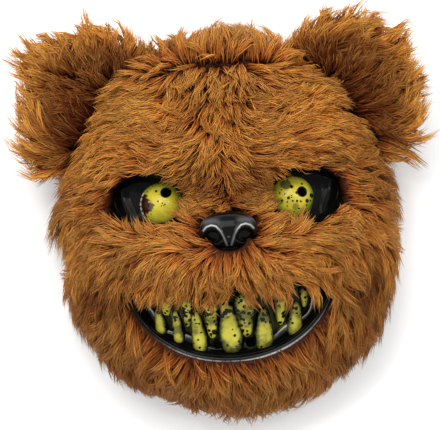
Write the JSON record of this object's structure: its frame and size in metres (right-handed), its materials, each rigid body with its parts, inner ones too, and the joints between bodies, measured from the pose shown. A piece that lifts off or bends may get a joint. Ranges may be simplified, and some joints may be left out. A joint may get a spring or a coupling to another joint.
{
  "type": "halloween bear mask",
  "caption": "Furry bear face mask: formed plastic shell with painted eye domes, nose, toothed grinning mouth, plush cover and cupped furry ears, lying face up.",
  "frame": {"origin": "middle of the footprint at the level of the rim that goes round the wearer's face, on which the mask lies", "axes": "+X to the right seen from the front, +Y from chin to crown, +Z out of the face"},
  "size_m": [0.259, 0.2526, 0.1069],
  "materials": {
    "shell_plastic": "glossy black formed sheet",
    "eye_paint": "glossy yellow paint with black speckles",
    "nose_plastic": "glossy black",
    "tooth_paint": "glossy yellow-green paint with black speckles",
    "lip_plastic": "glossy black",
    "plush": "long-pile plush, rusty brown with golden tips"
  },
  "bodies": {
    "root": {"face_shell": "shell_plastic", "eye_left": "eye_paint", "eye_right": "eye_paint", "nose": "nose_plastic", "teeth_lower": "tooth_paint", "teeth_upper": "tooth_paint", "lip": "lip_plastic", "fur_crown": "plush", "fur_forehead": "plush", "fur_cheek_left": "plush", "fur_cheek_right": "plush", "fur_muzzle": "plush", "fur_chin": "plush", "ear_left": "plush", "ear_right": "plush"}
  },
  "joints": []
}
